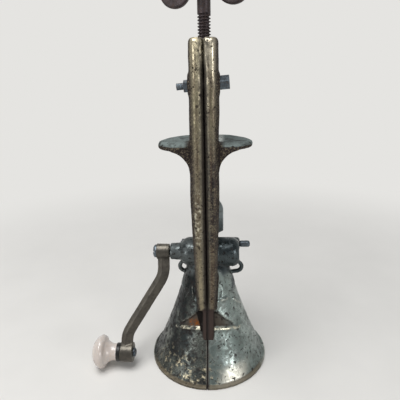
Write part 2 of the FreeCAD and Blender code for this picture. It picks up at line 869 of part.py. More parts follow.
def bolts():
    """Bolts and square nuts that draw the halves together, and the pins that line them up."""
    leg_bolt = new_body("leg_bolt")
    over = dim.leg_nut_thick + dim.leg_bolt_over
    rod(leg_bolt, "leg_bolt_shank", dim.leg_bolt_radius, -leg_seat - over, over + leg_seat * 2 + overrun)
    square_rod(leg_bolt, "leg_bolt_head", dim.leg_head_side, leg_seat, dim.leg_head_thick)
    thread_rings(leg_bolt, "leg_bolt_thread", dim.leg_bolt_radius, dim.bolt_groove - leg_seat - over,
                 dim.leg_bolt_over)
    head_turn = BOLT_TILT.multiply(FreeCAD.Rotation(X_AXIS, dim.leg_head_turn.value))
    put(leg_bolt, 0, leg_bolt_y, dim.leg_bolt_height, head_turn)
    nut_reach = leg_seat + dim.leg_nut_thick
    nut_turn = BOLT_TILT.multiply(FreeCAD.Rotation(X_AXIS, dim.leg_nut_turn.value))
    square_nut("leg_nut", dim.leg_head_side, dim.leg_nut_thick, dim.leg_bolt_radius + dim.press_fit,
               -nut_reach * bolt_run, leg_bolt_y, dim.leg_bolt_height - nut_reach * bolt_climb, nut_turn)

    tie_bolt = new_body("tie_bolt")
    over = dim.tie_nut_thick + dim.tie_bolt_over
    grip = dim.lug_left + dim.barrel_right
    rod(tie_bolt, "tie_bolt_shank", dim.tie_bolt_radius, -over, over + grip + overrun)
    head = rod(tie_bolt, "tie_bolt_head", dim.tie_head_radius, grip, dim.tie_head_length)
    end = (grip + dim.tie_head_length).value
    round_edges(tie_bolt, head, dim.tie_head_round, lambda edge: lies_at(edge, 0, end))
    put(tie_bolt, -dim.lug_left, dim.tie_setback, dim.shaft_height)
    square_nut("tie_nut", dim.tie_nut_side, dim.tie_nut_thick, dim.tie_bolt_radius + dim.press_fit,
               -dim.lug_left - dim.tie_nut_thick, dim.tie_setback, dim.shaft_height)

    pins = [
        cylinder("pin_" + name, dim.pin_radius, dim.pin_reach * 2, ALONG_X,
                 -dim.pin_reach, -dim.leg_front + dim.leg_depth / 2, height)
        for name, height in (("low", dim.pin_low_height), ("high", dim.pin_high_height))
    ]
    node(joined("locating_pins", pins), "locating_pins")


def drip_tongue():
    """Sheet tongue whose rolled eye is gripped between the lugs on the rear bolt."""
    body = new_body("drip_tongue")
    inner = dim.tie_bolt_radius + dim.bolt_fit
    outer = inner + dim.tongue_thick
    eye = body_sketch(body, "tongue_eye", "YZ", -dim.tongue_eye_half)
    circle(eye, outer)
    circle(eye, inner)
    pad(body, eye, dim.tongue_eye_half * 2)
    leaf = body_sketch(body, "tongue_leaf", "XZ", -outer)
    stem, wide = dim.tongue_eye_half, dim.tongue_half_width
    low = dim.tongue_shoulder - dim.tongue_slope
    high = dim.tongue_shoulder + dim.tongue_slope
    outline(leaf, [
        (-stem, 0),
        (stem, 0),
        (stem, low),
        (wide, high),
        (wide, dim.tongue_rise - wide),
        (0, dim.tongue_rise),
        (-wide, dim.tongue_rise - wide),
        (-wide, high),
        (-stem, low),
    ], {4: wide, 5: wide})
    pad(body, leaf, dim.tongue_thick)
    put(body, 0, dim.tie_setback, dim.shaft_height)


# feed screw, knife and plate

plate_face = lip_face - dim.plate_thick
knife_end = plate_face - dim.face_gap
knife_start = knife_end - dim.knife_thick
flange_start = dim.washer_thick + dim.face_gap - wall_face


def feed_screw():
    """Cast screw with journal, thrust flange, flight, knife square and pilot."""
    body = new_body("feed_screw")
    line = body_sketch(body, "feed_line", "XZ")
    flange_end = flange_start + dim.flange_thick
    outline(line, [
        (-boss_end, 0),
        (-boss_end, dim.journal_radius),
        (flange_start, dim.journal_radius),
        (flange_start, dim.flange_radius),
        (flange_end, dim.flange_radius),
        (flange_end, dim.core_radius),
        (knife_start, dim.core_radius),
        (knife_start, 0),
    ])
    turned(body, line, "H_Axis")
    square_rod(body, "knife_square", dim.knife_side, knife_start - overrun, dim.knife_thick + overrun)
    rod(body, "pilot", dim.pilot_radius, knife_end - overrun, dim.plate_thick + overrun)
    square_rod(body, "drive_square", dim.drive_side, -boss_end - dim.hub_length, dim.hub_length + overrun)
    hole = circle(body_sketch(body, "crank_screw_hole", "YZ", -boss_end - dim.hub_length),
                  dim.screw_shank_radius + dim.press_fit)
    pocket(body, hole, dim.screw_shank_length, back=True)
    flight = body_sketch(body, "flight_line", "XZ")
    start = flange_end - dim.face_gap
    rectangle(flight, start, start + dim.flight_thick, dim.core_radius - dim.face_gap, dim.bore_radius - dim.face_gap)
    spiral = body.newObject("PartDesign::AdditiveHelix", "flight")
    spiral.Profile = flight
    spiral.ReferenceAxis = (flight, ["H_Axis"])
    spiral.Mode = "pitch-height-angle"
    bind(spiral, Pitch=dim.flight_pitch, Height=knife_start - start - dim.flight_thick - dim.face_gap)
    put(body, z=dim.shaft_height, turn=LEAN)


def cutting_end():
    """Thrust washer, cross knife and perforated plate."""
    washer = new_body("thrust_washer")
    ring = body_sketch(washer, "washer_ring", "YZ")
    circle(ring, dim.washer_radius)
    circle(ring, dim.journal_radius + dim.bolt_fit)
    pad(washer, ring, dim.washer_thick)
    put(washer, -wall_face, 0, dim.shaft_height)

    knife = new_body("cutter_knife")
    rod(knife, "knife_hub", dim.knife_hub, 0, dim.knife_thick)
    blade_line = body_sketch(knife, "blade_line", "YZ")
    reach = dim.bore_radius - dim.face_gap * 2
    half = dim.knife_arm / 2
    outline(blade_line, [(0, -half), (reach, -dim.knife_tip_back), (reach, dim.knife_tip_front), (0, half)])
    blade = pad(knife, blade_line, dim.knife_thick)
    ring_of(knife, blade, blade_line, 4)
    eye = dim.knife_side / 2 + dim.press_fit
    square = rectangle(body_sketch(knife, "knife_eye", "YZ"), -eye, eye, -eye, eye)
    pocket(knife, square, dim.knife_thick, back=True)
    put(knife, knife_start, 0, dim.shaft_height, LEAN)

    plate = new_body("cutter_plate")
    edge = dim.bore_radius - dim.bolt_fit
    rod(plate, "plate_disc", edge, 0, dim.plate_thick)
    pocket(plate, circle(body_sketch(plate, "plate_eye", "YZ"), dim.pilot_radius + dim.running_fit),
           dim.plate_thick, back=True)
    notch = dim.key_size / 2 + dim.bolt_fit
    pocket(plate, rectangle(body_sketch(plate, "plate_notch", "YZ"), -notch, notch,
                            edge - dim.key_size - dim.bolt_fit, edge + overrun), dim.plate_thick, back=True)
    hole_line = circle(body_sketch(plate, "plate_hole", "YZ"), dim.plate_hole_radius, 0, -dim.plate_ring_radius)
    hole = pocket(plate, hole_line, dim.plate_thick, back=True)
    ring_of(plate, hole, hole_line, dim.plate_holes)
    put(plate, plate_face, 0, dim.shaft_height)


# crank and knob

hub_start = -boss_end - dim.face_gap
arm_x = hub_start - dim.arm_half_width - dim.arm_set
arm_end_x = arm_x - dim.arm_offset
arm_end_half = dim.arm_half_width + dim.arm_end_proud


def on_knob_axis(body, x):
    """Place a turned piece of the knob; its own +X points away from the hopper."""
    return put(body, x, -dim.crank_swing, knob_height, OUTWARD)


def crank():
    """Cast crank: square-holed hub, arm bent outward past the hopper, eye for the knob spindle."""
    body = new_body("crank_arm")
    path = body_sketch(body, "arm_path", "XZ")
    bent_path(path, [
        (arm_x, 0),
        (arm_x, -dim.arm_upper),
        (arm_end_x, dim.arm_lower - crank_throw),
        (arm_end_x, -crank_throw),
    ], dim.arm_bend)
    section = body_sketch(body, "arm_section", "XY")
    wide, deep, edge = dim.arm_half_width, dim.arm_half_depth, dim.arm_edge
    ridge = arm_x - dim.arm_ridge
    outline(section, [
        (arm_x - wide, -edge),
        (ridge, -deep),
        (arm_x + wide, -edge),
        (arm_x + wide, edge),
        (ridge, deep),
        (arm_x - wide, edge),
    ])
    doc.recompute()
    arm = body.newObject("PartDesign::AdditivePipe", "arm")
    arm.Profile = section
    arm.Spine = (path, ["Edge%d" % (number + 1) for number in range(len(path.Shape.Edges))])
    rod(body, "hub", dim.hub_radius, hub_start - dim.hub_length, dim.hub_length)
    eye_line = body_sketch(body, "arm_eye", "YZ", arm_end_x - arm_end_half)
    circle(eye_line, dim.arm_end_radius, 0, -crank_throw)
    pad(body, eye_line, arm_end_half * 2)
    half = dim.drive_side / 2 + dim.press_fit
    square = rectangle(body_sketch(body, "hub_square", "YZ", hub_start - dim.hub_length), -half, half, -half, half)
    pocket(body, square, dim.hub_length, back=True)
    hole = circle(body_sketch(body, "spindle_hole", "YZ", arm_end_x - arm_end_half),
                  dim.spindle_radius + dim.press_fit, 0, -crank_throw)
    pocket(body, hole, arm_end_half * 2, back=True)
    put(body, z=dim.shaft_height, turn=LEAN)

    screw = new_body("crank_screw")
    rod(screw, "crank_screw_shank", dim.screw_shank_radius, 0, dim.screw_shank_length)
    head = rod(screw, "crank_screw_head", dim.screw_head_radius, -dim.screw_head_height, dim.screw_head_height)
    outer = -dim.screw_head_height.value
    round_edges(screw, head, dim.screw_head_round, lambda edge: lies_at(edge, 0, outer))
    slot = body_sketch(screw, "crank_screw_slot", "YZ", -dim.screw_head_height)
    rectangle(slot, -dim.screw_head_radius, dim.screw_head_radius, -dim.slot_width / 2, dim.slot_width / 2)
    pocket(screw, slot, dim.slot_depth, back=True)
    put(screw, hub_start - dim.hub_length, 0, dim.shaft_height, LEAN)


def knob():
    """Porcelain mushroom knob, the ferrule at its neck and the spindle it turns on."""
    neck_x = arm_end_x - arm_end_half - dim.face_gap - dim.ferrule_thick
    bore = dim.spindle_radius + dim.running_fit
    body = new_body("knob")
    line = body_sketch(body, "knob_line", "XZ")
    seat = dim.spindle_head_radius + dim.face_gap
    rim = dim.knob_neck_length + dim.knob_rim_run
    outline(line, [
        (0, bore),
        (0, dim.knob_neck_radius),
        (dim.knob_neck_length, dim.knob_radius - dim.knob_rim_inset),
        (rim, dim.knob_radius),
        (dim.knob_length, seat),
        (dim.knob_length - dim.spindle_head_thick, seat),
        (dim.knob_length - dim.spindle_head_thick, bore),
    ], {1: dim.knob_hollow_radius, 2: -dim.knob_rim_radius, 3: -dim.knob_dome_radius})
    turned(body, line, "H_Axis")
    on_knob_axis(body, neck_x)

    ferrule = new_body("knob_ferrule")
    ring = body_sketch(ferrule, "ferrule_ring", "YZ")
    circle(ring, dim.ferrule_radius)
    circle(ring, bore)
    pad(ferrule, ring, dim.ferrule_thick)
    on_knob_axis(ferrule, neck_x + dim.ferrule_thick)

    spindle = new_body("knob_spindle")
    grip = arm_end_half * 2 + dim.face_gap + dim.ferrule_thick + dim.knob_length
    seat_end = grip - dim.spindle_head_thick + dim.face_gap
    rod(spindle, "spindle_shank", dim.spindle_radius, 0, seat_end + dim.face_gap)
    rod(spindle, "spindle_head", dim.spindle_head_radius, seat_end, dim.spindle_head_thick - dim.face_gap)
    peen = rod(spindle, "spindle_peen", dim.spindle_peen_radius, -dim.spindle_peen_thick, dim.spindle_peen_thick)
    inner = -dim.spindle_peen_thick.value
    round_edges(spindle, peen, dim.spindle_peen_round, lambda edge: lies_at(edge, 0, inner))
    on_knob_axis(spindle, arm_end_x + arm_end_half)


# table clamp

foot_z = dim.pad_height + dim.foot_gap
wing_z = dim.leg_height + dim.thread_above + dim.shank_length


def clamp():
    """Clamp screw with its ball end in the foot, and the wing pinned on its other end."""
    ball = dim.ball_rise
    foot = new_body("clamp_foot")
    line = body_sketch(foot, "foot_line", "XZ")
    socket = dim.ball_radius + dim.running_fit
    mouth = dim.ball_neck_radius + dim.ball_neck_room
    closing = root(socket * socket - mouth * mouth)
    outline(line, [
        (0, 0),
        (dim.foot_radius, 0),
        (dim.foot_radius, dim.foot_thick),
        (dim.foot_cup_radius, dim.foot_thick + dim.foot_bevel),
        (dim.foot_cup_radius - dim.foot_bevel, dim.foot_thick + dim.foot_cup_height),
        (mouth, dim.foot_thick + dim.foot_cup_height),
        (mouth, ball + closing),
        (0, ball - socket),
    ], {6: -socket})
    turned(foot, line, "V_Axis")
    put(foot, 0, screw_y, foot_z)

    screw = new_body("clamp_screw")
    rod_line = body_sketch(screw, "clamp_screw_line", "XZ")
    neck_start = root(dim.ball_radius * dim.ball_radius - dim.ball_neck_radius * dim.ball_neck_radius)
    thread_start = dim.foot_thick + dim.foot_cup_height + dim.thread_lead_in
    thread_end = dim.leg_height + dim.thread_above - foot_z
    top = wing_z - foot_z + dim.wing_bore_depth
    outline(rod_line, [
        (0, ball - dim.ball_radius),
        (dim.ball_neck_radius, ball + neck_start),
        (dim.ball_neck_radius, thread_start),
        (dim.thread_radius, thread_start + dim.thread_depth * 2),
        (dim.thread_radius, top),
        (0, top),
    ], {0: dim.ball_radius})
    turned(screw, rod_line, "V_Axis")
    pin_z = wing_z - foot_z + dim.wing_pin_rise
    pin_hole = circle(body_sketch(screw, "screw_pin_hole", "XZ", -dim.wing_hub_radius),
                      dim.wing_pin_radius + dim.press_fit, 0, pin_z)
    pocket(screw, pin_hole, dim.wing_hub_radius * 2, back=True)
    groove = body_sketch(screw, "thread_line", "XZ")
    inner = dim.thread_radius - dim.thread_depth
    outer = dim.thread_radius + dim.face_gap
    flank = dim.thread_pitch * 0.46
    outline(groove, [
        (inner, thread_start - flank * 0.2),
        (outer, thread_start - flank),
        (outer, thread_start + flank),
        (inner, thread_start + flank * 0.2),
    ])
    thread = screw.newObject("PartDesign::SubtractiveHelix", "thread")
    thread.Profile = groove
    thread.ReferenceAxis = (groove, ["V_Axis"])
    thread.Mode = "pitch-height-angle"
    bind(thread, Pitch=dim.thread_pitch, Height=thread_end - thread_start)
    wing_turn = FreeCAD.Rotation(Z_AXIS, dim.wing_turn.value)
    put(screw, 0, screw_y, foot_z, wing_turn)

    wing = new_body("clamp_wing")
    hub = body_sketch(wing, "wing_hub", "XZ")
    bore = dim.thread_radius + dim.press_fit
    outline(hub, [
        (bore, 0),
        (dim.wing_hub_radius - dim.wing_hub_bevel, 0),
        (dim.wing_hub_radius, dim.wing_hub_bevel),
        (dim.wing_hub_radius - dim.wing_hub_bevel, dim.wing_hub_height - dim.wing_hub_crown),
        (dim.wing_hub_radius - dim.wing_hub_crown * 2, dim.wing_hub_height),
        (0, dim.wing_hub_height),
        (0, dim.wing_bore_depth),
        (bore, dim.wing_bore_depth),
    ])
    turned(wing, hub, "V_Axis")
    half = dim.wing_thick / 2
    for name, side in (("left", -1), ("right", 1)):
        lobe = circle(body_sketch(wing, name + "_lobe", "XZ", -half), dim.wing_lobe_radius,
                      dim.wing_span * side, dim.wing_lobe_rise)
        pad(wing, lobe, dim.wing_thick)
        bar = body_sketch(wing, name + "_bar", "XZ", -half)
        low = dim.wing_lobe_rise - dim.wing_bar / 2
        rectangle(bar, (dim.wing_hub_radius - dim.wing_hub_bevel) * side, dim.wing_span * side, low, low + dim.wing_bar)
        last = pad(wing, bar, dim.wing_thick)
    lobe_size = dim.wing_lobe_radius.value
    round_edges(wing, last, dim.wing_round, lambda edge: edge.BoundBox.YLength < 0.01
                and edge.BoundBox.ZLength > lobe_size)
    cross = circle(body_sketch(wing, "wing_pin_hole", "XZ", -dim.wing_hub_radius),
                   dim.wing_pin_radius + dim.press_fit, 0, dim.wing_pin_rise)
    pocket(wing, cross, dim.wing_hub_radius * 2, back=True)
    put(wing, 0, screw_y, wing_z, wing_turn)

    pin = new_body("wing_pin")
    pad(pin, circle(body_sketch(pin, "wing_pin_line", "XZ", -dim.wing_hub_radius),
                    dim.wing_pin_radius, 0, dim.wing_pin_rise), dim.wing_hub_radius * 2)
    put(pin, 0, screw_y, wing_z, wing_turn)


castings()
bolts()
drip_tongue()
feed_screw()
cutting_end()
crank()
knob()
clamp()
doc.recompute()
faults = [thing.Name for thing in doc.Objects if "Invalid" in thing.State or "Error" in thing.State]
faults += [thing.Label for thing in nodes if thing.Shape.isNull() or not thing.Shape.isValid()]
if faults:
    raise SystemExit("not built: " + ", ".join(faults))
os.makedirs("parts", exist_ok=True)
for thing in nodes:
    thing.Shape.exportStep("parts/%s.step" % thing.Label)
    print(thing.Label, len(thing.Shape.Solids), round(thing.Shape.Volume, 1))
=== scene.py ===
import math

import bpy
from mathutils import Matrix, Vector
from mathutils.geometry import intersect_point_line


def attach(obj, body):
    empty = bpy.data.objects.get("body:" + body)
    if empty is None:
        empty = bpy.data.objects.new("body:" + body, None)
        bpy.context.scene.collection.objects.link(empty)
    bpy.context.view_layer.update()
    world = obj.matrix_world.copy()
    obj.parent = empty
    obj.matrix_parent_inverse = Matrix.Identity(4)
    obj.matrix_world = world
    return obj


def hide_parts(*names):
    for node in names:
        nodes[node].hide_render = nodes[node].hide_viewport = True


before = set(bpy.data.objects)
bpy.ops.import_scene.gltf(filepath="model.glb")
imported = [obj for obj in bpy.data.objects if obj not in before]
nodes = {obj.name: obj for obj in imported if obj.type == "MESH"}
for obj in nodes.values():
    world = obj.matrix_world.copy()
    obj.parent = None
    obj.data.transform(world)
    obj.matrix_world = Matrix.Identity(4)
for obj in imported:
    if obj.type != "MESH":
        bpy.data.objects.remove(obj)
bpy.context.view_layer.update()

MM = 0.001
scene = bpy.context.scene

# the leg, in millimetres: half its width at the root and where it is full, and the heights of both
ROOT_HALF = 7.6
FULL_HALF = 10.6
ROOT_HEIGHT = 60
FULL_HEIGHT = 110

# the recess under the leg: fall of its upper edges, spread of its sill, lean of the gap beside the tab
ARCH_FALL = 0.885
SILL_SPREAD = 120
GAP_LEAN = 3.2

# the parting: skin that stays flat along it, and the width over which the casting's own skin begins
SEAM_FLAT = 0.4
SEAM_FADE = 1.2

# the beads along the front of the leg: where they begin, their hind edge and the end of the leg
BEAD_START = 64
BEAD_BACK = -16
LEG_END = 258

# the drum: its heights, and how far forward its own skin comes beside the leg
DRUM_LOW = 94
DRUM_HIGH = 120
DRUM_FRONT = -14

# the scroll ears: their heights, and how far from the parting they begin
EAR_LOW = 70
EAR_HIGH = 91
EAR_START = 19


# colours, nodes and modelling helpers

def linear(code):
    """Linear colour of an sRGB hex value."""
    channels = [int(code[i:i + 2], 16) / 255 for i in (1, 3, 5)]
    return tuple(c / 12.92 if c <= 0.04045 else ((c + 0.055) / 1.055) ** 2.4 for c in channels) + (1.0,)


def add(tree, kind, inputs=None, **settings):
    """Add a node with its settings and links and give its first output.

    An input is a value, a hex colour or another node's socket."""
    node = tree.nodes.new("ShaderNode" + kind)
    for name, value in settings.items():
        setattr(node, name, value)
    for name, value in (inputs or {}).items():
        if isinstance(value, bpy.types.NodeSocket):
            tree.links.new(value, node.inputs[name])
        else:
            node.inputs[name].default_value = linear(value) if isinstance(value, str) else value
    return [socket for socket in node.outputs if socket.enabled][0] if node.outputs else node


def fresh(name):
    """New empty material, its tree and the piece's own coordinates."""
    material = bpy.data.materials.new(name)
    material.use_nodes = True
    tree = material.node_tree
    tree.nodes.clear()
    return material, tree, add(tree, "TexCoord").node.outputs["Object"]


def pick(piece):
    """Select one piece alone and make it active."""
    bpy.ops.object.select_all(action="DESELECT")
    piece.select_set(True)
    bpy.context.view_layer.objects.active = piece


def modify(piece, kind, **settings):
    """Give a piece one modifier and apply it."""
    pick(piece)
    modifier = piece.modifiers.new(kind.lower(), kind)
    for name, value in settings.items():
        setattr(modifier, name, value)
    bpy.ops.object.modifier_apply(modifier=modifier.name)


def finish_piece(piece, body, material, node):
    """Colour a piece, tie it to its body and let it stand for its solid."""
    piece.data.materials.clear()
    piece.data.materials.append(material)
    pick(piece)
    bpy.ops.object.shade_smooth()
    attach(piece, body)
    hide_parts(node)


def merged_copy(name, node, voxel):
    """Copy of a solid as one closed skin of even facets, voxel millimetres across."""
    piece = bpy.data.objects.new(name, nodes[node].data.copy())
    scene.collection.objects.link(piece)
    pick(piece)
    bpy.ops.object.mode_set(mode="EDIT")
    bpy.ops.mesh.select_all(action="SELECT")
    bpy.ops.mesh.remove_doubles(threshold=0.002 * MM)
    bpy.ops.object.mode_set(mode="OBJECT")
    modify(piece, "REMESH", mode="VOXEL", voxel_size=voxel * MM)
    return piece


def weigh(piece, name, rule):
    """Vertex group whose weight follows a rule of the place in millimetres."""
    group = piece.vertex_groups.new(name=name)
    for vertex in piece.data.vertices:
        weight = rule(*(vertex.co / MM))
        if weight > 0:
            group.add([vertex.index], min(weight, 1.0), "REPLACE")
    return name


def soften(piece, rounds, group=""):
    """Round off edges and corners."""
    modify(piece, "SMOOTH", factor=0.5, iterations=rounds, vertex_group=group)


def thicken(piece, amount, group):
    """Push the skin of a group outwards by millimetres."""
    modify(piece, "DISPLACE", strength=amount * MM, mid_level=0, vertex_group=group)


def roughen(piece, size, depth, group=""):
    """Uneven skin, cut inwards: size across and depth in millimetres."""
    clouds = bpy.data.textures.new("skin", "CLOUDS")
    clouds.noise_scale = size * MM
    modify(piece, "DISPLACE", texture=clouds, texture_coords="LOCAL", strength=depth * MM, mid_level=1.0,
           vertex_group=group)
    bpy.data.textures.remove(clouds)


def press(piece, path, width, lift):
    """Raise or sink the skin along a path of rough places, all in millimetres."""
    path = [piece.closest_point_on_mesh(Vector(point) * MM)[1] for point in path]
    moves = []
    for vertex in piece.data.vertices:
        gap = (vertex.co - path[0]).length
        for first, last in zip(path, path[1:]):
            share = intersect_point_line(vertex.co, first, last)[1]
            gap = min(gap, (vertex.co - first.lerp(last, min(max(share, 0), 1))).length)
        if gap < width * MM:
            fade = 1 - (gap / (width * MM)) ** 2
            moves.append((vertex.index, vertex.normal * lift * MM * fade * fade))
    for index, move in moves:
        piece.data.vertices[index].co += move


def crown(piece):
    """Round the front of each bead of the leg from its crest down to its edge and to the groove.

    The groove is shallower than the edge and runs out below the end of the leg."""
    lowest, hindmost = 66, -18
    end_run, side_run, groove_run = 8, 4, 12
    edge_drop, groove_share = 2.6, 0.55
    moves = []
    for vertex in piece.data.vertices:
        x, y, z = vertex.co / MM
        if z > lowest and y < hindmost:
            rise = min((z - ROOT_HEIGHT) / (FULL_HEIGHT - ROOT_HEIGHT), 1)
            half = ROOT_HALF + (FULL_HALF - ROOT_HALF) * rise
            off_crest = min(abs(2 * abs(x) / half - 1), 1)
            beside = max(1 - (abs(x) - half) / side_run, 0)
            fade = min((z - lowest) / end_run, (hindmost - y) / end_run, beside, 1)
            if abs(x) < half / 2:
                fade *= groove_share * min(max((LEG_END - z) / groove_run, 0), 1)
            moves.append((vertex.index, edge_drop * MM * fade * off_crest ** 2))
    for index, move in moves:
        piece.data.vertices[index].co.y += move


# masks of the castings' finish

# by place: name, measure, where it begins and where it is full in millimetres, and its greatest share
PLACE_MASKS = (
    # front of the body, and the leg
    ("before_drum", "y", -14, -17, 1), ("behind_leg", "y", -16, -13, 1),
    ("front", "y", -8, -28, 1), ("facing", "y", -22, -26, 1),
    ("above_root", "z", 57, 63, 1), ("above_drum", "z", 96, 106, 1),
    ("mid_leg", "z", 85, 125, 1), ("high_leg", "z", 178, 225, 1),
    # the end of the leg takes a painted highlight
    ("end_leg", "z", 236, 262, 1), ("below_end", "z", 262, 250, 1),
    ("pale_low", "z", 116, 128, 1), ("pale_high", "z", 172, 152, 1), ("left_side", "x", -2, -4, 1),
    # shoulder of the hopper, drum and ears
    # the shoulder darkens towards the top of the hopper; on the left half it is painted shade with a blue
    # reflection
    ("shoulder", "z", 38, 72, 0.85), ("drum_low", "z", 82, 88, 1), ("drum_high", "z", 130, 124, 1),
    ("ear", "off_seam", 19, 22, 1), ("neck", "z", 66, 72, 1),
    # rim of the hopper
    ("low", "z", 30, 9, 1), ("rim", "z", 3.8, 3.0, 0.85),
    # painted highlight: a smooth pale oval low on the right of the hopper
    ("shine_low", "z", 18, 8, 0.75), ("shine_in", "x", 6, 18, 1), ("shine_out", "x", 38, 26, 1),
    # groove of the leg, painted in shade, and the tab at its root
    ("groove_side", "off_seam", 3.0, 1.4, 0.8),
    ("tab_left", "x", -3.9, -3.6, 1), ("tab_right", "x", 5.9, 5.7, 1),
    ("tab_low", "z", 38.2, 38.7, 1), ("tab_high", "z", 65, 62, 1),
    # recess beside the tab, painted in shade, with its rust, its gap painted near-black as a shadow and the
    # ledge below it with a painted highlight
    ("recess_low", "sill", 46.6, 47.4, 1), ("recess_high", "arch", 66, 63, 0.95),
    ("recess_side", "off_seam", 30, 11, 1),
    ("rust_left", "x", -18, -14, 1), ("rust_right", "x", -4, -7, 1), ("rust_high", "sill", 54, 49, 1),
    # the gap beside the tab is painted near-black as a shadow
    ("gap_side", "slant", 25.6, 27.2, 1), ("gap_right", "x", -3.2, -3.8, 1),
    ("gap_low", "z", 41.5, 43.5, 1), ("gap_high", "arch", 66.5, 64.5, 1),
    # the ledge under the recess takes a painted highlight
    ("ledge_low", "sill", 44.2, 45.4, 0.75), ("ledge_high", "sill", 47.2, 46.4, 1),
    ("ledge_side", "off_seam", 29, 26, 1),
    # top of the pad
    ("pad_low", "z", 196.8, 197.8, 1), ("pad_high", "z", 204, 202, 1),
)

# by share of the leg's width and by how sharp the skin is: name, measure, begin, full, greatest share
FORM_MASKS = (
    # the outer side of each bead takes painted shade
    ("narrow", "across", 1.12, 1.03, 1), ("leg_edge_shade", "across", 0.55, 0.95, 1),
    # the groove side of each bead takes a grey painted shade
    ("beside_leg", "across", 1.05, 1.5, 1), ("inner_bead_shade", "across", 0.42, 0.26, 0.6),
    # hollow skin takes painted shade; sharp skin takes rubbed tin with a painted highlight
    ("sunk_shade", "relief", 0.492, 0.45, 1), ("raised_wear_and_highlight", "relief", 0.51, 0.56, 0.6),
)

# by chance: name, coordinates, size in millimetres, begin, full, detail, greatest share
# the finest, the speckle, is drawn coarser than it is so that it shows
NOISE_MASKS = (
    ("clouds", "place", 15, 0.38, 0.56, 4, 1), ("flecks", "place", 3.2, 0.51, 0.64, 9, 1),
    ("speckle", "place", 1.3, 0.50, 0.68, 3, 0.35), ("pits", "place", 3.1, 0.60, 0.66, 2, 0.85),
    ("patches", "place", 8, 0.50, 0.60, 5, 0.7), ("bright", "place", 7, 0.42, 0.54, 3, 1),
    ("rust_spots", "place", 3.0, 0.42, 0.60, 6, 1), ("streaks", "drawn", 1.7, 0.46, 0.64, 4, 0.7),
)

# joined from others: name, how, and the masks it takes
JOINED_MASKS = (
    ("leg", "MAXIMUM", "above_drum", "narrow"),
    ("leg", "MULTIPLY", "leg", "before_drum", "above_root"),
    ("edge", "MULTIPLY", "leg", "leg_edge_shade"),
    ("pale", "MULTIPLY", "pale_low", "pale_high", "left_side", "flecks"),
    ("drum", "MULTIPLY", "drum_low", "drum_high", "behind_leg"),
    ("ears", "MULTIPLY", "neck", "drum_high", "ear"),
    ("drum", "MAXIMUM", "drum", "ears"),
    ("rim_flecks", "MULTIPLY", "low", "front", "flecks", "bright", "fleck_side"),
    # painted highlight low on the right of the hopper
    ("painted_highlight", "MULTIPLY", "shine_low", "shine_in", "shine_out", "front"),
    ("rim", "MULTIPLY", "rim", "front"),
    # painted shade in the groove of the leg and in hollows, with the dark parting line
    ("groove", "MULTIPLY", "groove_side", "leg", "facing", "below_end"),
    ("seam", "MULTIPLY", "seam_side", "facing", "below_end"),
    ("seam_and_shade", "MAXIMUM", "groove", "seam", "sunk_shade"),
    ("tab", "MULTIPLY", "tab_left", "tab_right", "tab_low", "tab_high", "facing"),
    # the recess is painted in shade
    ("recess", "MULTIPLY", "recess_low", "recess_high", "recess_side", "front"),
    ("rust", "MULTIPLY", "recess", "rust_left", "rust_right", "rust_high", "rust_spots"),
    # painted shadow in the gap beside the tab
    ("gap", "MULTIPLY", "gap_side", "gap_right", "gap_low", "gap_high", "front"),
    # painted highlight along the ledge
    ("ledge", "MULTIPLY", "ledge_low", "ledge_high", "ledge_side", "front", "bright"),
    ("pad", "MULTIPLY", "pad_low", "pad_high", "beside_leg"),
    ("stain", "MULTIPLY", "pad", "patches"),
)

# layers from the ground up: mask, and a hex colour or the name of one of the half's own tones
LEG_LAYERS = (
    ("mid_leg", "leg_middle"), ("high_leg", "leg_high"), ("patches", "#6A6252"), ("pale", "#DAD4BE"),
    # painted highlight on the end of the leg, painted shade on both sides of each bead
    ("end_leg", "leg_top_highlight"), ("streaks", "#4B3D35"), ("inner_bead_shade", "#615E54"), ("leg_edge_shade", "#2B2524"),
    ("speckle", "#A89C80"),
)
SKIN_LAYERS = (
    # on the left half the shoulder tone is painted shade with a blue reflection
    ("clouds", "tarnish"), ("shoulder", "shoulder"), ("mottle", "bare"), ("rim_flecks", "#CDC3A6"),
    # a painted highlight low on the right of the hopper, and rubbed tin with a painted highlight on sharp
    # edges
    ("painted_highlight", "#E4E0D2"), ("raised_wear_and_highlight", "#CFCDC0"), ("drum", "drum"), ("leg", "leg"), ("pad", "#6E7775"),
    # the recess tone is painted shade
    ("stain", "#474B49"), ("rim", "#5F5646"), ("recess", "#463C33"), ("rust", "#7C4410"),
    # painted highlight on the ledge, painted shadow in the gap, painted shade in the groove and hollows with
    # the dark parting line
    ("ledge", "#E6DFC6"), ("gap", "#120E0C"), ("pits", "#241E1B"), ("tab", "#3B312D"), ("seam_and_shade", "#2A2523"),
)

# where the metal is dull
DULL_MASKS = ("seam_and_shade", "rust", "pits", "tab", "rim", "recess", "gap", "edge", "pad")


# finishes

